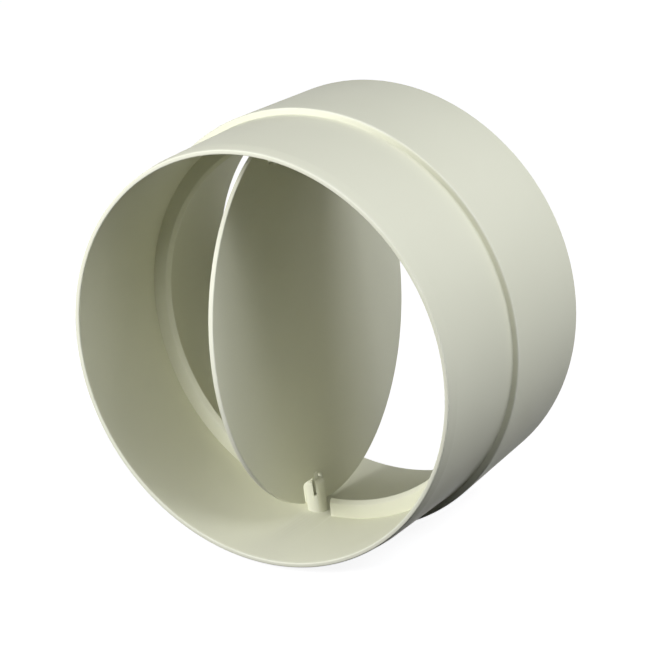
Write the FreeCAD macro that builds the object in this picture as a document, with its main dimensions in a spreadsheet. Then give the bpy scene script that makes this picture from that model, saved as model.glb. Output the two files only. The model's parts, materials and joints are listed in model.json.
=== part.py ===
"""Backdraft damper for a round duct: a moulded pipe fitting with one off-centre flap.

Frame: the duct axis is Y, air flows towards +Y, the flap turns about a line along Z.
The origin is on the duct axis, where the front spigot's straight wall ends at the step.
Lengths are millimetres. The flap is placed as it stands when open, sunk on its lower pin.
"""
import FreeCAD, Part
import math
import os
import re

import Sketcher
from FreeCAD import Vector

SIZES = [
    # Front spigot, which slides into a pipe
    ("spigot_radius", 49.6, "outside of the straight front spigot"),
    ("spigot_length", 28.5, "front rim to the end of the straight wall"),
    ("lead_in_length", 3.5, "tapered stretch behind the front rim"),
    ("lead_in_drop", 0.3, "how far the lead-in narrows towards the front rim"),
    # Rear collar, tapered so that a hose can be pushed over it up to the step
    ("step_rise", 1.6, "height of the step between spigot and collar"),
    ("foot_bevel", 0.6, "bevel that fills the foot of the step"),
    ("collar_length", 31.6, "step face to the rear end"),
    ("collar_taper", 1.4, "how far the collar narrows towards its rear end"),
    # Bore, narrowest at the seat, where the two halves of the core meet
    ("wall_thickness", 1.6, "between the spigot's outside and the bore at the seat"),
    ("core_draft", 0.2, "how far the bore widens towards both mouths"),
    ("edge_bevel", 0.3, "bevel along the tube's sharp edges"),
    # Flap and the two half-round ribs that it closes on
    ("flap_gap", 2.25, "between the closed flap's edge and the bore"),
    ("flap_thickness", 1.2, "flap plate"),
    ("flap_bevel", 0.2, "bevel round the flap's rim"),
    ("seat_overlap", 1.95, "how far the closed flap lies over its ribs"),
    ("seat_gap", 0.35, "between the closed flap's faces and the ribs"),
    ("rib_thickness", 1.3, "seat ribs, along the duct"),
    ("rib_bevel", 0.9, "bevel along the front edge of each rib"),
    ("rib_end", 4.9, "pivot line to the end of the right-hand rib"),
    # Pivot
    ("pivot_offset", 8.5, "duct axis to the pivot line, towards -X"),
    ("pivot_place", 1.35, "origin to the pivot line, along the duct"),
    ("open_angle", 93.3, "turn of the flap from closed to open, in degrees"),
    ("post_radius", 2.4, "round post that holds a pin"),
    ("post_height", 7.6, "post above the bore"),
    ("post_bevel", 0.6, "bevel round the post's top"),
    ("pin_radius", 1.0, "flap's pin"),
    ("pin_play", 0.05, "radial play of the pin in its post"),
    ("pin_depth", 3.2, "length of each pin inside its post, with the flap halfway up its play"),
    ("pin_root", 1.0, "length of the pin moulded into the plate"),
    ("end_play", 0.7, "free travel of the flap along its pivot"),
    ("end_gap", 0.05, "below the lower pin's end, with the flap sunk to the bottom of its play"),
    ("notch_gap", 0.4, "between the post's side and the flap's notch"),
    ("notch_front", 6.3, "pivot line to the front edge of the lower notch"),
    ("notch_clear", 1.1, "between the post's top and the flap's notch, halfway up the play"),
    ("slit_width", 0.7, "slit through which a pin snaps into its post"),
    ("slit_angle", 28.0, "direction of the slit from the front, towards +X, in degrees"),
]

DERIVED = [
    ("rim_radius", "=spigot_radius - lead_in_drop"),
    ("collar_radius", "=spigot_radius + step_rise"),
    ("collar_end_radius", "=collar_radius - collar_taper"),
    ("bore_radius", "=spigot_radius - wall_thickness"),
    ("mouth_radius", "=bore_radius + core_draft"),
    ("step_face", "=foot_bevel"),
    ("rear_end", "=foot_bevel + collar_length"),
    ("flap_radius", "=bore_radius - flap_gap"),
    ("rib_radius", "=flap_radius - seat_overlap"),
    ("root_depth", "=wall_thickness / 2"),
    ("rib_root_radius", "=bore_radius + root_depth"),
    ("seat_reach", "=flap_thickness / 2 + seat_gap"),
    ("left_rib_front", "=pivot_place + seat_reach"),
    ("right_rib_front", "=pivot_place - seat_reach - rib_thickness"),
    ("right_rib_end", "=rib_end - pivot_offset"),
    ("floor_height", "=sqrt(bore_radius ^ 2 - pivot_offset ^ 2)"),
    ("post_top", "=floor_height - post_height"),
    ("post_length", "=post_height + root_depth"),
    ("socket_radius", "=pin_radius + pin_play"),
    ("flap_drop", "=end_play / 2"),
    ("socket_depth", "=pin_depth + flap_drop + end_gap"),
    ("notch_half", "=post_radius + notch_gap"),
    ("notch_top", "=post_top - notch_clear"),
    ("pin_start", "=notch_top - pin_root"),
    ("pin_length", "=pin_root + notch_clear + pin_depth"),
]

FULL_TURN = 360
NEAR = 0.01


def make_sheet(doc):
    """Put the driving and derived sizes in a sheet, one alias to a row."""
    sheet = doc.addObject("Spreadsheet::Sheet", "sizes")
    rows = [(name, str(value), note) for name, value, note in SIZES]
    rows += [(name, formula, "derived") for name, formula in DERIVED]
    for row, (name, content, note) in enumerate(rows, start=1):
        sheet.set(f"A{row}", name)
        sheet.set(f"B{row}", content)
        sheet.setAlias(f"B{row}", name)
        sheet.set(f"C{row}", note)
    doc.recompute()
    return sheet


def tied(expression):
    """Turn the bare size names of an expression into references to the sheet."""
    return re.sub(r"[a-z]+_[a-z_]+", lambda match: "sizes." + match.group(0), expression)


class Piece:
    """A moulded piece: one body whose sketches and features are tied to the sheet."""

    def __init__(self, doc, sheet, label):
        self.doc = doc
        self.sheet = sheet
        self.body = doc.addObject("PartDesign::Body", label)
        self.body.Label = label

    def value(self, expression):
        """Work out an expression of size names as a number."""
        return float(self.sheet.evalExpression(expression))

    def plane(self, role):
        """Return one of the body's own origin planes."""
        return next(item for item in self.body.Origin.OriginFeatures if item.Role == role)

    def sketch(self, name, role, offset=None):
        """Start a sketch on an origin plane, moved along the plane's normal by an expression."""
        sketch = self.body.newObject("Sketcher::SketchObject", name)
        sketch.AttachmentSupport = [(self.plane(role), "")]
        sketch.MapMode = "FlatFace"
        if offset:
            sketch.setExpression("AttachmentOffset.Base.z", tied(offset))
        return sketch

    def bind(self, sketch, kind, target, expression):
        """Add one dimension to a sketch and tie it to the sheet."""
        constraint = Sketcher.Constraint(kind, *target, self.value(expression))
        index = sketch.addConstraint(constraint)
        sketch.setExpression(f"Constraints[{index}]", tied(expression))

    def fix_point(self, sketch, geometry, end, place):
        """Dimension a point from the sketch's origin in both directions."""
        across, up = place
        self.bind(sketch, "DistanceX", (-1, 1, geometry, end), across)
        self.bind(sketch, "DistanceY", (-1, 1, geometry, end), up)

    def point(self, place):
        """Return a pair of expressions as a point of a sketch."""
        return Vector(self.value(place[0]), self.value(place[1]), 0)

    def outline(self, sketch, corners):
        """Draw a closed outline of straight lines through corners given as expressions."""
        points = [self.point(corner) for corner in corners]
        count = len(points)
        for index, start in enumerate(points):
            sketch.addGeometry(Part.LineSegment(start, points[(index + 1) % count]))
        for index, corner in enumerate(corners):
            following = (index + 1) % count
            sketch.addConstraint(Sketcher.Constraint("Coincident", index, 2, following, 1))
            self.fix_point(sketch, index, 1, corner)

    def circle(self, sketch, centre, radius):
        """Draw a circle whose centre and radius are expressions."""
        shape = Part.Circle(self.point(centre), Vector(0, 0, 1), self.value(radius))
        index = sketch.addGeometry(shape)
        self.fix_point(sketch, index, 3, centre)
        self.bind(sketch, "Radius", (index,), radius)

    def feature(self, kind, name, sketch, **settings):
        """Add a feature made from a sketch, with its properties."""
        feature = self.body.newObject(f"PartDesign::{kind}", name)
        feature.Profile = sketch
        for key, setting in settings.items():
            setattr(feature, key, setting)
        sketch.Visibility = False
        return feature

    def length(self, feature, expression):
        """Tie a feature's length to the sheet."""
        feature.setExpression("Length", tied(expression))

    def mirror(self, name, originals, role):
        """Repeat features on the other side of an origin plane."""
        mirrored = self.body.newObject("PartDesign::Mirrored", name)
        mirrored.Originals = originals
        mirrored.MirrorPlane = (self.plane(role), [""])
        self.body.Tip = mirrored
        self.doc.recompute()
        return mirrored

    def edges(self, test):
        """Name the edges of the body as it stands that pass a test."""
        self.doc.recompute()
        shape = self.body.Tip.Shape
        return [f"Edge{index}" for index, edge in enumerate(shape.Edges, start=1) if test(edge)]

    def bevel(self, name, size, test):
        """Bevel the edges that pass a test."""
        names = self.edges(test)
        base = self.body.Tip
        feature = self.body.newObject("PartDesign::Chamfer", name)
        feature.Base = (base, names)
        feature.setExpression("Size", tied(size))
        self.body.Tip = feature
        self.doc.recompute()
        return feature


def rings(*places):
    """Return a test for whole or part circles about the duct axis at given radii and places."""
    def test(edge):
        curve = edge.Curve
        if not isinstance(curve, Part.Circle) or abs(abs(curve.Axis.y) - 1) > NEAR:
            return False
        centre = curve.Center
        return any(
            abs(curve.Radius - radius) < NEAR and abs(centre.y - place) < NEAR
            for radius, place in places
        )
    return test


def make_duct_body(doc, sheet):
    """Mould the pipe with its step, its seat ribs and its pivot posts."""
    piece = Piece(doc, sheet, "duct_body")
    add_tube(piece)
    add_seat_ribs(piece)
    add_posts(piece)
    return piece


def add_tube(piece):
    """Turn the pipe wall about the duct axis, then bevel its edges."""
    section = piece.sketch("tube_section", "YZ_Plane")
    piece.outline(section, [
        ("-spigot_length", "rim_radius"),
        ("lead_in_length - spigot_length", "spigot_radius"),
        ("step_face", "spigot_radius"),
        ("step_face", "collar_radius"),
        ("rear_end", "collar_end_radius"),
        ("rear_end", "mouth_radius"),
        ("pivot_place", "bore_radius"),
        ("-spigot_length", "mouth_radius"),
    ])
    tube = piece.feature("Revolution", "tube", section)
    tube.ReferenceAxis = (section, ["H_Axis"])
    tube.Angle = FULL_TURN
    value = piece.value
    foot = (value("spigot_radius"), value("step_face"))
    piece.bevel("foot_of_step", "foot_bevel", rings(foot))
    corners = rings(
        (value("rim_radius"), -value("spigot_length")),
        (value("mouth_radius"), -value("spigot_length")),
        (value("collar_radius"), value("step_face")),
        (value("collar_end_radius"), value("rear_end")),
        (value("mouth_radius"), value("rear_end")),
    )
    piece.bevel("tube_edges", "edge_bevel", corners)


def draw_rib(piece, sketch, end, side):
    """Draw a half ring that stops at an upright line, on the +X (1) or the -X (-1) side."""
    stop = piece.value(end)
    middle = 0 if side > 0 else math.pi
    arcs = []
    for radius in ("rib_radius", "rib_root_radius"):
        size = piece.value(radius)
        sweep = math.acos(side * stop / size)
        full = Part.Circle(Vector(), Vector(0, 0, 1), size)
        index = sketch.addGeometry(Part.ArcOfCircle(full, middle - sweep, middle + sweep))
        sketch.addConstraint(Sketcher.Constraint("Coincident", index, 3, -1, 1))
        piece.bind(sketch, "Radius", (index,), radius)
        arcs.append(index)
    inner, outer = arcs
    for corner in (1, 2):
        ends = [sketch.getPoint(index, corner) for index in arcs]
        line = sketch.addGeometry(Part.LineSegment(*ends))
        for corner_of_line, index in enumerate(arcs, start=1):
            sketch.addConstraint(Sketcher.Constraint("Coincident", line, corner_of_line, index, corner))
            piece.bind(sketch, "DistanceX", (-1, 1, index, corner), end)


def add_seat_ribs(piece):
    """Add the rib in front of the flap on the right and the rib behind it on the left."""
    value = piece.value
    fronts = []
    for name, front, end, side in (
        ("right_rib", "right_rib_front", "right_rib_end", 1),
        ("left_rib", "left_rib_front", "-pivot_offset", -1),
    ):
        sketch = piece.sketch(f"{name}_outline", "XZ_Plane", f"-{front}")
        draw_rib(piece, sketch, end, side)
        rib = piece.feature("Pad", name, sketch, Reversed=True)
        piece.length(rib, "rib_thickness")
        fronts.append((value("rib_radius"), value(front)))
    piece.bevel("rib_edges", "rib_bevel", rings(*fronts))


def add_posts(piece):
    """Stand a split round post on the bore under the flap, and another above it."""
    axis = ("-pivot_offset", "pivot_place")
    foot = piece.sketch("post_outline", "XY_Plane", "-post_top")
    piece.circle(foot, axis, "post_radius")
    post = piece.feature("Pad", "post", foot, Reversed=True)
    piece.length(post, "post_length")

    mouth = piece.sketch("socket_outline", "XY_Plane", "-post_top")
    piece.circle(mouth, axis, "socket_radius")
    socket = piece.feature("Pocket", "socket", mouth)
    piece.length(socket, "socket_depth")

    gap = piece.sketch("slit_outline", "XY_Plane", "-post_top")
    draw_slit(piece, gap)
    slit = piece.feature("Pocket", "slit", gap)
    piece.length(slit, "socket_depth")
    piece.mirror("upper_post", [post, socket, slit], "XY_Plane")
    bevel_posts(piece)


def draw_slit(piece, sketch):
    """Draw the slit as a strip from the pin's line out through the front of the post."""
    half = "slit_width / 2"
    reach = "(post_radius + slit_width)"
    along = (f"sin(slit_angle * 1 deg) * {reach}", f"-cos(slit_angle * 1 deg) * {reach}")
    aside = (f"cos(slit_angle * 1 deg) * {half}", f"sin(slit_angle * 1 deg) * {half}")
    corners = []
    for far, side in ((0, "-"), (1, "-"), (1, "+"), (0, "+")):
        across = f"-pivot_offset {side} {aside[0]}" + (f" + {along[0]}" if far else "")
        up = f"pivot_place {side} {aside[1]}" + (f" + {along[1]}" if far else "")
        corners.append((across, up))
    piece.outline(sketch, corners)


def bevel_posts(piece):
    """Bevel the outer edge of each post's top."""
    radius = piece.value("post_radius")
    height = piece.value("post_top")

    def is_top(edge):
        curve = edge.Curve
        if not isinstance(curve, Part.Circle) or abs(curve.Radius - radius) > NEAR:
            return False
        return abs(abs(curve.Center.z) - height) < NEAR

    piece.bevel("post_tops", "post_bevel", is_top)


def make_flap(doc, sheet):
    """Mould the flap about its pivot line, then turn it open and set it in its posts."""
    piece = Piece(doc, sheet, "flap")
    disc = piece.sketch("disc_outline", "XZ_Plane", "flap_thickness / 2")
    piece.circle(disc, ("pivot_offset", "0 * pivot_offset"), "flap_radius")
    plate = piece.feature("Pad", "plate", disc, Reversed=True)
    piece.length(plate, "flap_thickness")
    value = piece.value
    half = value("flap_thickness / 2")
    faces = ((value("flap_radius"), -half), (value("flap_radius"), half))
    piece.bevel("rim_edges", "flap_bevel", rings(*faces))

    notch = cut_notch(piece, "notch", "-notch_half", "notch_half")
    tip = piece.sketch("pin_outline", "XY_Plane", "-pin_start")
    piece.circle(tip, ("0 * pin_radius", "0 * pin_radius"), "pin_radius")
    pin = piece.feature("Pad", "pin", tip, Reversed=True)
    piece.length(pin, "pin_length")
    piece.mirror("upper_pin_and_notch", [notch, pin], "XY_Plane")
    cut_notch(piece, "snap_relief", "-notch_front", "-post_radius")

    piece.body.setExpression("Placement.Base.x", tied("-pivot_offset"))
    piece.body.setExpression("Placement.Base.y", tied("pivot_place"))
    piece.body.setExpression("Placement.Base.z", tied("-flap_drop"))
    piece.body.Placement.Rotation = FreeCAD.Rotation(Vector(0, 0, 1), value("open_angle"))
    piece.body.setExpression("Placement.Rotation.Angle", tied("open_angle * 1 deg"))
    doc.recompute()
    return piece


def cut_notch(piece, name, front, rear):
    """Cut into the plate's lower edge between two upright lines."""
    outline = piece.sketch(f"{name}_outline", "XZ_Plane", "-flap_thickness")
    piece.outline(outline, [
        (front, "-bore_radius"),
        (rear, "-bore_radius"),
        (rear, "-notch_top"),
        (front, "-notch_top"),
    ])
    notch = piece.feature("Pocket", name, outline, Reversed=True)
    piece.length(notch, "2 * flap_thickness")
    return notch


def check(doc, pieces):
    """Stop if any object failed, or any piece isn't one sound solid."""
    for item in doc.Objects:
        if {"Invalid", "Error"} & set(item.State):
            raise RuntimeError(f"{item.Label} failed: {item.State}")
    for piece in pieces:
        shape = piece.body.Shape
        if shape.isNull() or not shape.isValid() or len(shape.Solids) != 1:
            raise RuntimeError(f"{piece.body.Label} isn't one sound solid")


def main():
    """Build the damper and write each piece to its file."""
    doc = FreeCAD.newDocument("backdraft_damper")
    sheet = make_sheet(doc)
    pieces = [make_duct_body(doc, sheet), make_flap(doc, sheet)]
    doc.recompute()
    check(doc, pieces)
    os.makedirs("parts", exist_ok=True)
    for piece in pieces:
        shape = piece.body.Shape
        shape.exportStep(f"parts/{piece.body.Label}.step")
        box = shape.BoundBox
        print(piece.body.Label, "volume", round(shape.Volume, 1), "box", box)


main()
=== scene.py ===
"""Dressed model of a round-duct backdraft damper: two satin cream mouldings in a plain studio.

Axes are the frame's own: Y along the duct the way the air flows, Z along the flap's pivot, X to the
right seen from the front. Sizes in the classes are millimetres, and meshes are built in metres.
"""
import json
import logging
import math
from collections.abc import Callable, Iterable, Sequence
from dataclasses import dataclass, field
from enum import Enum

import bmesh
import bpy
from mathutils import Matrix, Vector


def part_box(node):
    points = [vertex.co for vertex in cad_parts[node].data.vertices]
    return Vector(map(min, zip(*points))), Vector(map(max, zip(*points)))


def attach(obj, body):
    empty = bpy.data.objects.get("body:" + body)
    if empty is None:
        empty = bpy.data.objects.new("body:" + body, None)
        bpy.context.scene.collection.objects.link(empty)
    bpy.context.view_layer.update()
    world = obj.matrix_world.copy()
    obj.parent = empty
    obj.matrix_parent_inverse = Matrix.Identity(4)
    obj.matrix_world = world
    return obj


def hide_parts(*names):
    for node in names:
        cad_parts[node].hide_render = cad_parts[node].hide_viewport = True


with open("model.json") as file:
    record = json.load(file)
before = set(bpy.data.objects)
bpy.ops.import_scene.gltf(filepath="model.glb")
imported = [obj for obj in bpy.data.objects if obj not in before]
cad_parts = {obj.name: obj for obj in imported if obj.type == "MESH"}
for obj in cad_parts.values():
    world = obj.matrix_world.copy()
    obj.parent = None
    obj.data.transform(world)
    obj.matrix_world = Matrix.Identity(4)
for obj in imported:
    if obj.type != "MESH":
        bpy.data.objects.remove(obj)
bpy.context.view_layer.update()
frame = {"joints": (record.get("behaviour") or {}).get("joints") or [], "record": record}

MM = 0.001
# Attribute that holds how far each corner is on a convex edge, for the painted edge highlight
EDGE_HIGHLIGHT = "edge_wear"
DUCT_AXIS = Matrix.Rotation(math.radians(-90), 4, "X")
# Distance in millimetres at which doubled points merge
MERGE = 0.0005
# Bends from which an edge is rounded, and from which it is shaded sharp
SOFT_BEND = math.radians(30)
SMOOTH_BEND = math.radians(32)
# Places of a Mix node's colour sockets, because its other kinds share their names
MIX_COLOURS = (6, 7)
MIX_RESULT = 2
# Colours of the lamps
COOL = (0.965, 0.97, 1.0)
COOLER = (0.93, 0.95, 1.0)
COOLEST = (0.92, 0.94, 1.0)
WARM = (1.0, 0.98, 0.95)
log = logging.getLogger("damper")

Point = tuple[float, float]


class Joining(Enum):
    """How a tool's solid is joined to a piece."""

    ADD = "UNION"
    CUT = "DIFFERENCE"


class Hand(Enum):
    """The side of the flap's pivot that a seat rib is on."""

    RIGHT = 1
    LEFT = -1


class Level(Enum):
    """The end of the flap's pivot that a post or a pin is at."""

    LOWER = -1
    UPPER = 1


@dataclass(frozen=True)
class Corner:
    """Corner of a turned section: its place along the axis, its radius and how far it is rounded."""

    along: float
    out: float
    round: float = 0.0


def rounded_section(
    corners: Sequence[Corner],
    steps: int = 5,
    support: float = 0.0,
    room: float = 3.0,
) -> list[Point]:
    """Replace the corners of a closed section by arcs.

    Args:
        corners: the section's corners in order.
        steps: straight runs in each arc.
        support: distance of an extra point on each side of an arc, where there is room for it.
        room: length that a straight side needs for that, as a multiple of the extra point's place.

    Returns:
        The section's points as (along, out) pairs.
    """
    points: list[Point] = []
    count = len(corners)
    for index, corner in enumerate(corners):
        here = Vector((corner.along, corner.out))
        if corner.round == 0:
            points.append(tuple(here))
            continue
        ways = []
        for other in (corners[index - 1], corners[(index + 1) % count]):
            ways.append(Vector((other.along, other.out)) - here)
        back, onward = (way.normalized() for way in ways)
        half = back.angle(onward) / 2
        reach = corner.round / math.tan(half)
        centre = here + (back + onward).normalized() * corner.round / math.sin(half)
        first = here + back * reach - centre
        last = here + onward * reach - centre
        turn = math.copysign(math.pi - 2 * half, first.x * last.y - first.y * last.x)
        if support and ways[0].length > room * (reach + support):
            points.append(tuple(here + back * (reach + support)))
        for step in range(steps + 1):
            points.append(tuple(centre + Matrix.Rotation(turn * step / steps, 2) @ first))
        if support and ways[1].length > room * (reach + support):
            points.append(tuple(here + onward * (reach + support)))
    return points


def add_object(name: str, mesh: bpy.types.Mesh) -> bpy.types.Object:
    """Put a mesh in the scene as an object at the origin."""
    item = bpy.data.objects.new(name, mesh)
    bpy.context.scene.collection.objects.link(item)
    return item


def settle(item: bpy.types.Object) -> None:
    """Make an object's modifiers part of its mesh."""
    graph = bpy.context.evaluated_depsgraph_get()
    mesh = bpy.data.meshes.new_from_object(item.evaluated_get(graph), depsgraph=graph)
    item.modifiers.clear()
    item.data = mesh


def join(item: bpy.types.Object, tool: bpy.types.Object, joining: Joining) -> None:
    """Add a tool's solid to a piece or cut it away, and delete the tool."""
    modifier = item.modifiers.new(joining.name, "BOOLEAN")
    modifier.solver = "EXACT"
    modifier.operation = joining.value
    modifier.object = tool
    settle(item)
    bpy.data.objects.remove(tool)


def soften(item: bpy.types.Object, width: float, segments: int = 3) -> None:
    """Round every sharp edge of a piece by a width in millimetres."""
    modifier = item.modifiers.new("soft_edges", "BEVEL")
    modifier.width = width * MM
    modifier.segments = segments
    modifier.limit_method = "ANGLE"
    modifier.angle_limit = SOFT_BEND
    settle(item)


def edit(mesh: bpy.types.Mesh, change: Callable[[bmesh.types.BMesh], None]) -> None:
    """Apply a change to a mesh through a bmesh."""
    work = bmesh.new()
    work.from_mesh(mesh)
    change(work)
    work.to_mesh(mesh)
    work.free()
    mesh.update()


def close(work: bmesh.types.BMesh) -> None:
    """Merge doubled points and turn the faces outwards."""
    bmesh.ops.remove_doubles(work, verts=work.verts, dist=MERGE * MM)
    bmesh.ops.dissolve_degenerate(work, edges=work.edges, dist=MERGE * MM)
    bmesh.ops.recalc_face_normals(work, faces=work.faces)


def box_object(name: str, low: Vector, high: Vector) -> bpy.types.Object:
    """Make a plain box between two corners in millimetres, as a cutting tool."""
    mesh = bpy.data.meshes.new(name)
    size = (high - low) * MM
    place = Matrix.Translation((low + high) / 2 * MM) @ Matrix.Diagonal(size.to_4d())
    edit(mesh, lambda work: bmesh.ops.create_cube(work, size=1, matrix=place))
    return add_object(name, mesh)


@dataclass
class TurningTree:
    """Geometry Nodes tree that turns a closed section about Z, along an arc or all the way round."""

    name: str = "turned_section"
    step_angle: float = math.radians(1.25)
    tree: bpy.types.GeometryNodeTree = field(init=False)
    sockets: dict[str, str] = field(init=False, default_factory=dict)

    def __post_init__(self) -> None:
        """Build the tree once, for every turned form."""
        self.tree = bpy.data.node_groups.new(self.name, "GeometryNodeTree")
        self._add_sockets()
        self._add_nodes()

    def _add_sockets(self) -> None:
        """Name the tree's inputs and its output."""
        face = self.tree.interface
        inputs = {
            "Section": "NodeSocketGeometry",
            "Path Radius": "NodeSocketFloat",
            "Start Angle": "NodeSocketFloat",
            "Sweep Angle": "NodeSocketFloat",
            "Steps": "NodeSocketInt",
            "Whole Turn": "NodeSocketBool",
            "Finish": "NodeSocketMaterial",
        }
        for label, kind in inputs.items():
            socket = face.new_socket(label, in_out="INPUT", socket_type=kind)
            self.sockets[label] = socket.identifier
        face.new_socket("Turned Form", in_out="OUTPUT", socket_type="NodeSocketGeometry")

    def _add_nodes(self) -> None:
        """Sweep the section along a circle or an arc, and give the result its finish."""
        nodes = self.tree.nodes
        link = self.tree.links.new
        given = nodes.new("NodeGroupInput").outputs
        section = nodes.new("GeometryNodeMeshToCurve")
        circle = nodes.new("GeometryNodeCurvePrimitiveCircle")
        arc = nodes.new("GeometryNodeCurveArc")
        path = nodes.new("GeometryNodeSwitch")
        path.input_type = "GEOMETRY"
        sweep = nodes.new("GeometryNodeCurveToMesh")
        sweep.inputs["Fill Caps"].default_value = True
        real = nodes.new("GeometryNodeRealizeInstances")
        finish = nodes.new("GeometryNodeSetMaterial")
        result = nodes.new("NodeGroupOutput").inputs

        link(given["Section"], section.inputs["Mesh"])
        link(given["Path Radius"], circle.inputs["Radius"])
        link(given["Steps"], circle.inputs["Resolution"])
        link(given["Path Radius"], arc.inputs["Radius"])
        link(given["Steps"], arc.inputs["Resolution"])
        link(given["Start Angle"], arc.inputs["Start Angle"])
        link(given["Sweep Angle"], arc.inputs["Sweep Angle"])
        link(given["Whole Turn"], path.inputs["Switch"])
        link(arc.outputs["Curve"], path.inputs["False"])
        link(circle.outputs["Curve"], path.inputs["True"])
        link(path.outputs["Output"], sweep.inputs["Curve"])
        link(section.outputs["Curve"], sweep.inputs["Profile Curve"])
        link(sweep.outputs["Mesh"], real.inputs["Geometry"])
        link(real.outputs["Geometry"], finish.inputs["Geometry"])
        link(given["Finish"], finish.inputs["Material"])
        link(finish.outputs["Geometry"], result["Turned Form"])

    def turn(
        self,
        name: str,
        section: Iterable[Point],
        finish: bpy.types.Material,
        place: Matrix,
        half_sweep: float = math.pi,
        middle: float = 0.0,
        steps: int | None = None,
    ) -> bpy.types.Object:
        """Turn a section into a closed form.

        Args:
            name: name of the new object.
            section: points as (along, out) pairs in millimetres.
            finish: material of the form.
            place: matrix in metres from the turning axis to the frame.
            half_sweep: angle turned to each side of the middle, pi for a whole turn.
            middle: angle of the arc's middle.
            steps: runs round a whole turn, or None for the tree's own fineness.

        Returns:
            The turned form as an object with a plain mesh.
        """
        points = list(section)
        whole = half_sweep >= math.pi
        radius = max(out for _, out in points)
        loop = bpy.data.meshes.new(name)
        flat = [((out - radius) * MM, -along * MM, 0) for along, out in points]
        count = len(flat)
        loop.from_pydata(flat, [(i, (i + 1) % count) for i in range(count)], [])
        item = add_object(name, loop)
        modifier = item.modifiers.new(self.name, "NODES")
        modifier.node_group = self.tree
        round_steps = steps or round(2 * half_sweep / self.step_angle)
        values = {
            "Path Radius": radius * MM,
            "Start Angle": middle - half_sweep,
            "Sweep Angle": 2 * half_sweep,
            "Steps": round_steps if whole else round_steps + 1,
            "Whole Turn": whole,
            "Finish": finish,
        }
        for label, value in values.items():
            modifier[self.sockets[label]] = value
        settle(item)
        item.data.transform(place)
        edit(item.data, close)
        return item


@dataclass(frozen=True)
class PlasticFinish:
    """Satin moulded plastic with a fine grain, faint flow shading and convex edges made paler in
    patches by a painted highlight.
    """

    name: str
    colour: tuple[float, float, float]
    shade: tuple[float, float, float]
    # Paler colour that paints a highlight on convex edges
    edge: tuple[float, float, float]
    roughness: tuple[float, float] = (0.36, 0.46)
    # Range of the patchy noise that scales the painted edge highlight
    highlight_patchiness: tuple[float, float] = (0.2, 0.9)
    index: float = 1.47
    gloss: float = 0.02
    flow_size: float = 34.0
    flow_detail: float = 2.0
    patch_size: float = 9.0
    highlight_detail: float = 3.0
    satin_detail: float = 4.0
    grain_size: float = 0.55
    grain_detail: float = 3.0
    grain_depth: float = 0.012
    grain_strength: float = 0.35
    noise_middle: tuple[float, float] = (0.3, 0.7)

    def material(self) -> bpy.types.Material:
        """Build the finish as a node material on Object coordinates.

        Returns:
            The new material.
        """
        material = bpy.data.materials.new(self.name)
        material.use_nodes = True
        nodes = material.node_tree.nodes
        link = material.node_tree.links.new
        shader = nodes["Principled BSDF"]
        shader.inputs["IOR"].default_value = self.index
        shader.inputs["Specular IOR Level"].default_value = self.gloss
        place = nodes.new("ShaderNodeTexCoord").outputs["Object"]

        def noise(size: float, detail: float) -> bpy.types.NodeSocket:
            """Add a noise whose features are a size in millimetres, and return its factor."""
            texture = nodes.new("ShaderNodeTexNoise")
            texture.inputs["Scale"].default_value = 1 / (size * MM)
            texture.inputs["Detail"].default_value = detail
            link(place, texture.inputs["Vector"])
            return texture.outputs["Fac"]

        def blend(factor: bpy.types.NodeSocket, first: object, second: object) -> bpy.types.NodeSocket:
            """Mix two colours by a factor."""
            mix = nodes.new("ShaderNodeMix")
            mix.data_type = "RGBA"
            link(factor, mix.inputs["Factor"])
            for index, colour in zip(MIX_COLOURS, (first, second)):
                socket = mix.inputs[index]
                if isinstance(colour, bpy.types.NodeSocket):
                    link(colour, socket)
                else:
                    socket.default_value = (*colour, 1)
            return mix.outputs[MIX_RESULT]

        def spread(value: bpy.types.NodeSocket, low: float, high: float) -> bpy.types.NodeSocket:
            """Map the middle of a noise to a range."""
            ramp = nodes.new("ShaderNodeMapRange")
            ramp.inputs["From Min"].default_value = self.noise_middle[0]
            ramp.inputs["From Max"].default_value = self.noise_middle[1]
            ramp.inputs["To Min"].default_value = low
            ramp.inputs["To Max"].default_value = high
            link(value, ramp.inputs["Value"])
            return ramp.outputs["Result"]

        # Painted highlight: convex edges are mixed towards the paler edge colour, in noise patches
        highlight_mask = nodes.new("ShaderNodeAttribute")
        highlight_mask.attribute_name = EDGE_HIGHLIGHT
        patchy_highlight = nodes.new("ShaderNodeMath")
        patchy_highlight.operation = "MULTIPLY"
        link(highlight_mask.outputs["Fac"], patchy_highlight.inputs[0])
        link(spread(noise(self.patch_size, self.highlight_detail), *self.highlight_patchiness), patchy_highlight.inputs[1])

        flow = spread(noise(self.flow_size, self.flow_detail), 0, 1)
        body = blend(flow, self.colour, self.shade)
        link(blend(patchy_highlight.outputs["Value"], body, self.edge), shader.inputs["Base Color"])
        satin = spread(noise(self.patch_size, self.satin_detail), *self.roughness)
        link(satin, shader.inputs["Roughness"])

        bump = nodes.new("ShaderNodeBump")
        bump.inputs["Strength"].default_value = self.grain_strength
        bump.inputs["Distance"].default_value = self.grain_depth * MM
        link(noise(self.grain_size, self.grain_detail), bump.inputs["Height"])
        link(bump.outputs["Normal"], shader.inputs["Normal"])
        return material


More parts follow.
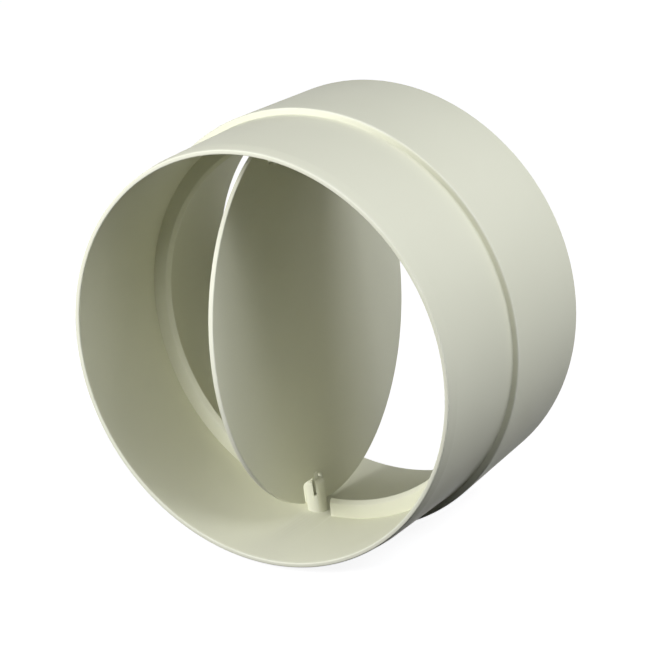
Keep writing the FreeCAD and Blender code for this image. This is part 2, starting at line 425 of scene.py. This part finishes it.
def mark_edges(mesh: bpy.types.Mesh, full_angle: float = math.radians(24)) -> None:
    """Store how far each face's corners are on an outward edge, for the painted highlight that makes
    convex edges paler.

    Args:
        mesh: the finished mesh.
        full_angle: bend at which a point counts as wholly on an edge.
    """
    work = bmesh.new()
    work.from_mesh(mesh)
    values = []
    for point in work.verts:
        bends = [edge.calc_face_angle_signed(0) for edge in point.link_edges]
        values.append(min(max(0, *bends) / full_angle, 1))
    work.free()
    corners = []
    for face in mesh.polygons:
        corners += [0.0 if is_broad(face) else values[point] for point in face.vertices]
    mesh.attributes.new(EDGE_HIGHLIGHT, "FLOAT", "CORNER").data.foreach_set("value", corners)


def is_broad(face: bpy.types.MeshPolygon, area: float = 100.0) -> bool:
    """Tell a large flat face from the narrow ones, by an area in square millimetres."""
    return face.area > area * MM * MM


def finish_piece(item: bpy.types.Object, material: bpy.types.Material) -> None:
    """Clean a built piece, mark its edges and shade it smooth between sharp edges."""
    mesh = item.data
    edit(mesh, close)
    mesh.materials.clear()
    mesh.materials.append(material)
    mark_edges(mesh)
    mesh.shade_smooth()
    mesh.set_sharp_from_angle(angle=SMOOTH_BEND)
    for face in mesh.polygons:
        face.use_smooth = not is_broad(face)


@dataclass(frozen=True)
class PivotLine:
    """Line about which the flap turns, read from the frame's joint."""

    x: float
    y: float

    @classmethod
    def from_frame(cls) -> "PivotLine":
        """Read the flap's joint, in millimetres."""
        joint = frame["joints"][0]
        x, y, _ = (value / MM for value in joint["pos_m"])
        return cls(x, y)

    def matrix(self, turn: float = 0.0, height: float = 0.0) -> Matrix:
        """Return the place at a height on the line, turned about it by an angle in degrees."""
        place = Matrix.Translation(Vector((self.x, self.y, height)) * MM)
        return place @ Matrix.Rotation(math.radians(turn), 4, "Z")


@dataclass
class DuctBody:
    """Pipe fitting: a spigot and a collar with a step, two seat ribs and two split posts."""

    pivot: PivotLine
    turning: TurningTree
    wall: float = 1.6
    lead_in_length: float = 3.5
    lead_in_drop: float = 0.3
    step_face: float = 0.6
    foot_round: float = 0.35
    edge_round: float = 0.35
    lead_in_round: float = 2.8
    mouth_round: float = 0.15
    collar_taper: float = 1.4
    core_draft: float = 0.2
    rib_radius: float = 43.8
    rib_thickness: float = 1.3
    rib_bevel: float = 0.9
    rib_soft: float = 0.16
    rib_end: float = 4.9
    end_slack: float = 0.75
    seat_reach: float = 0.95
    post_radius: float = 2.4
    post_height: float = 7.6
    post_round: float = 0.9
    post_steps: int = 48
    socket_radius: float = 1.05
    socket_depth: float = 3.6
    socket_steps: int = 32
    tool_excess: float = 1.0
    slit_width: float = 0.7
    slit_angle: float = 28.0
    slit_soft: float = 0.18
    slit_segments: int = 2

    def __post_init__(self) -> None:
        """Take the outer sizes from the frame."""
        low, high = (Vector(corner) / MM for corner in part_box("duct_body"))
        mounts = {mount["name"]: mount for mount in frame["record"]["mounts"]}
        self.front = low.y
        self.rear = high.y
        self.spigot_radius = mounts["front_spigot"]["dims"]["r_mm"]
        self.collar_radius = (high.z - low.z) / 2
        self.bore_radius = self.spigot_radius - self.wall
        self.root = self.wall / 2
        self.floor = math.sqrt(self.bore_radius ** 2 - self.pivot.x ** 2)

    def build(self, material: bpy.types.Material) -> bpy.types.Object:
        """Build the whole moulding as one closed mesh.

        Args:
            material: finish of the moulding.

        Returns:
            The finished piece.
        """
        body = self._tube(material)
        for hand in Hand:
            join(body, self._rib(hand, material), Joining.ADD)
        for level in Level:
            join(body, self._post(level, material), Joining.ADD)
        finish_piece(body, material)
        return body

    def _tube(self, material: bpy.types.Material) -> bpy.types.Object:
        """Turn the pipe's wall with its lead-in, its step and its tapered collar."""
        mouth = self.bore_radius + self.core_draft
        soft = self.edge_round
        corners = [
            Corner(self.front, self.spigot_radius - self.lead_in_drop, soft),
            Corner(self.front + self.lead_in_length, self.spigot_radius, self.lead_in_round),
            Corner(self.step_face, self.spigot_radius, self.foot_round),
            Corner(self.step_face, self.collar_radius, soft),
            Corner(self.rear, self.collar_radius - self.collar_taper, soft),
            Corner(self.rear, mouth, self.mouth_round),
            Corner(self.pivot.y, self.bore_radius),
            Corner(self.front, mouth, soft),
        ]
        section = rounded_section(corners, support=2 * soft)
        return self.turning.turn("duct_shell", section, material, DUCT_AXIS)

    def _rib(self, hand: Hand, material: bpy.types.Material) -> bpy.types.Object:
        """Sweep a half-round seat rib that ends on an upright plane beside the pivot."""
        if hand is Hand.RIGHT:
            front = self.pivot.y - self.seat_reach - self.rib_thickness
            end = self.pivot.x + self.rib_end
        else:
            front = self.pivot.y + self.seat_reach
            end = self.pivot.x
        back = front + self.rib_thickness
        outer = self.bore_radius + self.root
        section = [
            (front, outer),
            (front, self.rib_radius + self.rib_bevel),
            (front + self.rib_bevel, self.rib_radius),
            (back, self.rib_radius),
            (back, outer),
        ]
        half_sweep = math.acos(hand.value * end / self.bore_radius)
        middle = 0.0 if hand is Hand.RIGHT else math.pi
        name = f"{hand.name.lower()}_rib"
        rib = self.turning.turn(name, section, material, DUCT_AXIS, half_sweep, middle)
        self._square_ends(rib.data, end)
        soften(rib, self.rib_soft)
        return rib

    def _square_ends(self, mesh: bpy.types.Mesh, end: float) -> None:
        """Move the points of a rib's two ends along their circles to an upright plane."""
        for point in mesh.vertices:
            x, y, z = point.co / MM
            if abs(x - end) < self.end_slack and abs(z) > self.rib_radius - self.end_slack:
                height = math.sqrt(x * x + z * z - end * end)
                point.co = Vector((end, y, math.copysign(height, z))) * MM

    def _post(self, level: Level, material: bpy.types.Material) -> bpy.types.Object:
        """Turn a post, bore its socket, and cut the slit that the pin snaps through."""
        top = self.floor - self.post_height
        corners = [
            Corner(self.floor + self.root, 0),
            Corner(self.floor + self.root, self.post_radius),
            Corner(top, self.post_radius, self.post_round),
            Corner(top, 0),
        ]
        place = self.pivot.matrix() @ Matrix.Scale(level.value, 4, (0, 0, 1))
        name = f"{level.name.lower()}_post"
        section = rounded_section(corners)
        post = self.turning.turn(name, section, material, place, steps=self.post_steps)
        bottom = top + self.socket_depth
        above = top - self.tool_excess
        hole = [(bottom, 0), (bottom, self.socket_radius), (above, self.socket_radius), (above, 0)]
        socket = self.turning.turn("socket", hole, material, place, steps=self.socket_steps)
        join(post, socket, Joining.CUT)
        heights = sorted((level.value * bottom, level.value * above))
        half = self.slit_width / 2
        slit = box_object(
            "slit",
            Vector((-half, -2 * self.post_radius, heights[0])),
            Vector((half, 0, heights[1])),
        )
        slit.data.transform(self.pivot.matrix(self.slit_angle))
        join(post, slit, Joining.CUT)
        edit(post.data, close)
        soften(post, self.slit_soft, self.slit_segments)
        return post


@dataclass
class Flap:
    """Round plate with a notch at each post and a pin in each notch, standing open."""

    pivot: PivotLine
    turning: TurningTree
    thickness: float = 1.2
    rim_soft: float = 0.2
    open_angle: float = 93.3
    offset: float = 8.5
    margin: float = 0.02
    notch_half: float = 2.8
    notch_front: float = 6.3
    notch_top: float = 38.54
    notch_round: float = 0.8
    pin_radius: float = 1.0
    pin_root: float = 1.0
    pin_length: float = 5.3
    pin_soft: float = 0.25
    pin_arc_steps: int = 3
    pin_steps: int = 32

    def __post_init__(self) -> None:
        """Take the plate's radius and height from the frame."""
        low, high = (Vector(corner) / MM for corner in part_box("flap"))
        self.radius = (high.z - low.z) / 2 - self.margin
        self.height = (high.z + low.z) / 2

    def build(self, material: bpy.types.Material) -> bpy.types.Object:
        """Build the flap as one closed mesh, turned open about its pivot.

        Args:
            material: finish of the moulding.

        Returns:
            The finished piece.
        """
        flap = self._plate()
        for level in Level:
            join(flap, self._pin(level, material), Joining.ADD)
        flap.data.transform(self.pivot.matrix(self.open_angle, self.height))
        finish_piece(flap, material)
        return flap

    def _outline(self) -> list[Point]:
        """Return the plate's outline with both notches, from the lower notch round to it."""
        half = self.notch_half
        rear = ((half, Level.LOWER), (half, Level.UPPER))
        front = ((-half, Level.UPPER), (-self.notch_front, Level.LOWER))
        corners: list[Corner] = []
        for ends in (rear, front):
            (first, at_first), (last, at_last) = ends
            start = at_first.value * math.acos((first - self.offset) / self.radius)
            stop = at_last.value * math.acos((last - self.offset) / self.radius) % math.tau
            runs = round((stop - start) / self.turning.step_angle)
            corners.append(Corner(first, at_first.value * self.notch_top, self.notch_round))
            for run in range(runs + 1):
                angle = start + (stop - start) * run / runs
                across = self.offset + self.radius * math.cos(angle)
                corners.append(Corner(across, self.radius * math.sin(angle)))
            corners.append(Corner(last, at_last.value * self.notch_top, self.notch_round))
        return rounded_section(corners)

    def _plate(self) -> bpy.types.Object:
        """Make the flat plate and soften its edges."""
        half = self.thickness / 2
        mesh = bpy.data.meshes.new("flap_shell")

        def raise_plate(work: bmesh.types.BMesh) -> None:
            """Draw the outline as a face and give it its thickness."""
            points = [work.verts.new((x * MM, half * MM, z * MM)) for x, z in self._outline()]
            face = work.faces.new(points)
            grown = bmesh.ops.extrude_face_region(work, geom=[face])["geom"]
            moved = [part for part in grown if isinstance(part, bmesh.types.BMVert)]
            bmesh.ops.translate(work, verts=moved, vec=(0, -self.thickness * MM, 0))
            bmesh.ops.recalc_face_normals(work, faces=work.faces)

        edit(mesh, raise_plate)
        plate = add_object("flap_shell", mesh)
        soften(plate, self.rim_soft)
        return plate

    def _pin(self, level: Level, material: bpy.types.Material) -> bpy.types.Object:
        """Turn a pin that starts in the plate and ends in its post."""
        start = self.notch_top - self.pin_root
        end = start + self.pin_length
        corners = [
            Corner(start, 0),
            Corner(start, self.pin_radius, self.pin_soft),
            Corner(end, self.pin_radius, self.pin_soft),
            Corner(end, 0),
        ]
        place = Matrix.Scale(level.value, 4, (0, 0, 1))
        name = f"{level.name.lower()}_pin"
        section = rounded_section(corners, self.pin_arc_steps)
        return self.turning.turn(name, section, material, place, steps=self.pin_steps)


@dataclass(frozen=True)
class SoftLamp:
    """Round studio lamp aimed at the damper, placed by its direction."""

    name: str
    azimuth: float
    elevation: float
    power: float
    colour: tuple[float, float, float] = (1.0, 1.0, 1.0)
    distance: float = 0.5
    size: float = 0.22

    def light(self) -> bpy.types.Object:
        """Hang the lamp in the scene."""
        lamp = bpy.data.lights.new(self.name, "AREA")
        lamp.shape = "DISK"
        lamp.size = self.size
        lamp.energy = self.power
        lamp.color = self.colour
        item = bpy.data.objects.new(self.name, lamp)
        item.matrix_world = looking_matrix(self.azimuth, self.elevation, self.distance)
        bpy.context.scene.collection.objects.link(item)
        return item


def looking_matrix(azimuth: float, elevation: float, distance: float, roll: float = 0.0) -> Matrix:
    """Place something that looks at the origin.

    Args:
        azimuth: degrees round from the front towards +X.
        elevation: degrees above the horizon.
        distance: metres from the origin.
        roll: degrees that its right side dips.

    Returns:
        The matrix of an object that looks along its own -Z.
    """
    aim = Matrix.Rotation(math.radians(azimuth), 4, "Z")
    aim = aim @ Matrix.Rotation(math.radians(90 - elevation), 4, "X")
    aim = aim @ Matrix.Rotation(math.radians(-roll), 4, "Z")
    return aim @ Matrix.Translation((0, 0, distance))


@dataclass
class Studio:
    """Plain pale floor, white surroundings and soft lamps."""

    floor_reach: float = 4.0
    bounce_colour: tuple[float, float, float] = (0.01, 0.01, 0.01)
    glow: float = 0.9
    glow_reach: tuple[float, float] = (0.12, 0.4)
    shadow_share: float = 0.3
    paper_roughness: float = 0.9
    ambient: float = 0.01
    lamps: tuple[SoftLamp, ...] = (
        SoftLamp(
            "near_front_lamp",
            azimuth=-27,
            elevation=20,
            power=0.79,
            colour=COOL,
            distance=0.32,
            size=0.15,
        ),
        SoftLamp("front_lamp", azimuth=0, elevation=33, power=0.54),
        SoftLamp("high_side_lamp", azimuth=60, elevation=46, power=0.36, colour=COOLER),
        SoftLamp("front_side_lamp", azimuth=80, elevation=35, power=0.63, colour=COOLEST),
        SoftLamp("side_lamp", azimuth=100, elevation=32, power=0.86, colour=COOLEST),
        SoftLamp("rear_lamp", azimuth=120, elevation=18, power=0.19, colour=WARM),
        SoftLamp("far_side_lamp", azimuth=-106, elevation=25, power=0.18),
    )

    def build(self) -> None:
        """Lay the floor, set the surroundings and hang the lamps."""
        self._floor()
        self._surroundings()
        for lamp in self.lamps:
            lamp.light()

    def _seen(self, tree: bpy.types.NodeTree) -> bpy.types.NodeSocket:
        """Return 1 for a ray from the camera, off a gloss or through glass."""
        path = tree.nodes.new("ShaderNodeLightPath")
        total = path.outputs["Is Camera Ray"]
        for label in ("Is Glossy Ray", "Is Transmission Ray"):
            most = tree.nodes.new("ShaderNodeMath")
            most.operation = "MAXIMUM"
            tree.links.new(total, most.inputs[0])
            tree.links.new(path.outputs[label], most.inputs[1])
            total = most.outputs["Value"]
        return total

    def _glow(self, tree: bpy.types.NodeTree) -> bpy.types.NodeSocket:
        """Return the floor's own glow, which rises to full white away from the damper."""
        place = tree.nodes.new("ShaderNodeTexCoord")
        away = tree.nodes.new("ShaderNodeVectorMath")
        away.operation = "LENGTH"
        tree.links.new(place.outputs["Object"], away.inputs[0])
        rise = tree.nodes.new("ShaderNodeMapRange")
        near, far = self.glow_reach
        rise.inputs["From Min"].default_value = near
        rise.inputs["From Max"].default_value = far
        rise.inputs["To Min"].default_value = self.glow
        tree.links.new(away.outputs["Value"], rise.inputs["Value"])
        return rise.outputs["Result"]

    def _floor(self) -> None:
        """Lay a floor under the damper that looks white and keeps its shadow."""
        mesh = bpy.data.meshes.new("studio_floor")
        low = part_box("duct_body")[0][2]
        reach = self.floor_reach

        def lay(work: bmesh.types.BMesh) -> None:
            """Make one flat square."""
            corners = ((-reach, -reach), (reach, -reach), (reach, reach), (-reach, reach))
            work.faces.new([work.verts.new((x, y, low)) for x, y in corners])

        edit(mesh, lay)
        floor = add_object("studio_floor", mesh)
        material = bpy.data.materials.new("white_paper")
        material.use_nodes = True
        tree = material.node_tree
        paper = tree.nodes["Principled BSDF"]
        paper.inputs["Base Color"].default_value = (*self.bounce_colour, 1)
        paper.inputs["Roughness"].default_value = self.paper_roughness
        paper.inputs["Specular IOR Level"].default_value = 0.0
        white = tree.nodes.new("ShaderNodeEmission")
        tree.links.new(self._glow(tree), white.inputs["Strength"])
        shadowed = tree.nodes.new("ShaderNodeAddShader")
        lit = tree.nodes.new("ShaderNodeBsdfDiffuse")
        share = self.shadow_share
        lit.inputs["Color"].default_value = (share, share, share, 1)
        tree.links.new(white.outputs["Emission"], shadowed.inputs[0])
        tree.links.new(lit.outputs["BSDF"], shadowed.inputs[1])
        mix = tree.nodes.new("ShaderNodeMixShader")
        tree.links.new(self._seen(tree), mix.inputs["Fac"])
        tree.links.new(paper.outputs["BSDF"], mix.inputs[1])
        tree.links.new(shadowed.outputs["Shader"], mix.inputs[2])
        tree.links.new(mix.outputs["Shader"], tree.nodes["Material Output"].inputs["Surface"])
        mesh.materials.append(material)

    def _surroundings(self) -> None:
        """Show white all round, and light the damper by a dimmer grey."""
        world = bpy.data.worlds.new("white_room")
        bpy.context.scene.world = world
        world.use_nodes = True
        tree = world.node_tree
        grey = tree.nodes["Background"]
        grey.inputs["Color"].default_value = (1, 1, 1, 1)
        grey.inputs["Strength"].default_value = self.ambient
        white = tree.nodes.new("ShaderNodeBackground")
        white.inputs["Color"].default_value = (1, 1, 1, 1)
        white.inputs["Strength"].default_value = 1.0
        mix = tree.nodes.new("ShaderNodeMixShader")
        tree.links.new(self._seen(tree), mix.inputs["Fac"])
        tree.links.new(grey.outputs["Background"], mix.inputs[1])
        tree.links.new(white.outputs["Background"], mix.inputs[2])
        tree.links.new(mix.outputs["Shader"], tree.nodes["World Output"].inputs["Surface"])


@dataclass(frozen=True)
class PhotoCamera:
    """Camera that stands where the photograph was taken from."""

    azimuth: float = 33.44
    elevation: float = 16.96
    roll: float = 7.35
    distance: float = 0.6935
    aim: tuple[float, float, float] = (0.81, 0.34, -0.53)
    focal_pixels: float = 3000.0
    frame_pixels: float = 650.0
    sensor: float = 36.0
    near_clip: float = 0.01

    def build(self) -> None:
        """Create the camera and make it the scene's own."""
        lens = bpy.data.cameras.new("photo_camera")
        lens.sensor_width = self.sensor
        lens.lens = self.sensor * self.focal_pixels / self.frame_pixels
        lens.clip_start = self.near_clip
        camera = bpy.data.objects.new("photo_camera", lens)
        looking = looking_matrix(self.azimuth, self.elevation, self.distance, self.roll)
        camera.matrix_world = Matrix.Translation(Vector(self.aim) * MM) @ looking
        bpy.context.scene.collection.objects.link(camera)
        bpy.context.scene.camera = camera


CREAM = PlasticFinish(
    name="cream_moulding",
    colour=(0.80, 0.80, 0.645),
    shade=(0.775, 0.775, 0.62),
    # Paler colour of the painted highlight on convex edges
    edge=(0.86, 0.86, 0.74),
)


def report(item: bpy.types.Object, body: str) -> None:
    """Log a finished piece with its body and its number of faces."""
    log.info("%s rides on %s, %d faces", item.name, body, len(item.data.polygons))


def main() -> None:
    """Build the damper, dress it and set up the studio."""
    logging.basicConfig(level=logging.INFO, format="%(name)s: %(message)s")
    bpy.context.scene.view_settings.view_transform = "Standard"
    pivot = PivotLine.from_frame()
    turning = TurningTree()
    material = CREAM.material()

    body = DuctBody(pivot, turning).build(material)
    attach(body, "housing")
    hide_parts("duct_body")
    report(body, "housing")

    flap = Flap(pivot, turning).build(material)
    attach(flap, "flap")
    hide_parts("flap")
    report(flap, "flap")

    Studio().build()
    PhotoCamera().build()


if __name__ == "__main__":
    main()
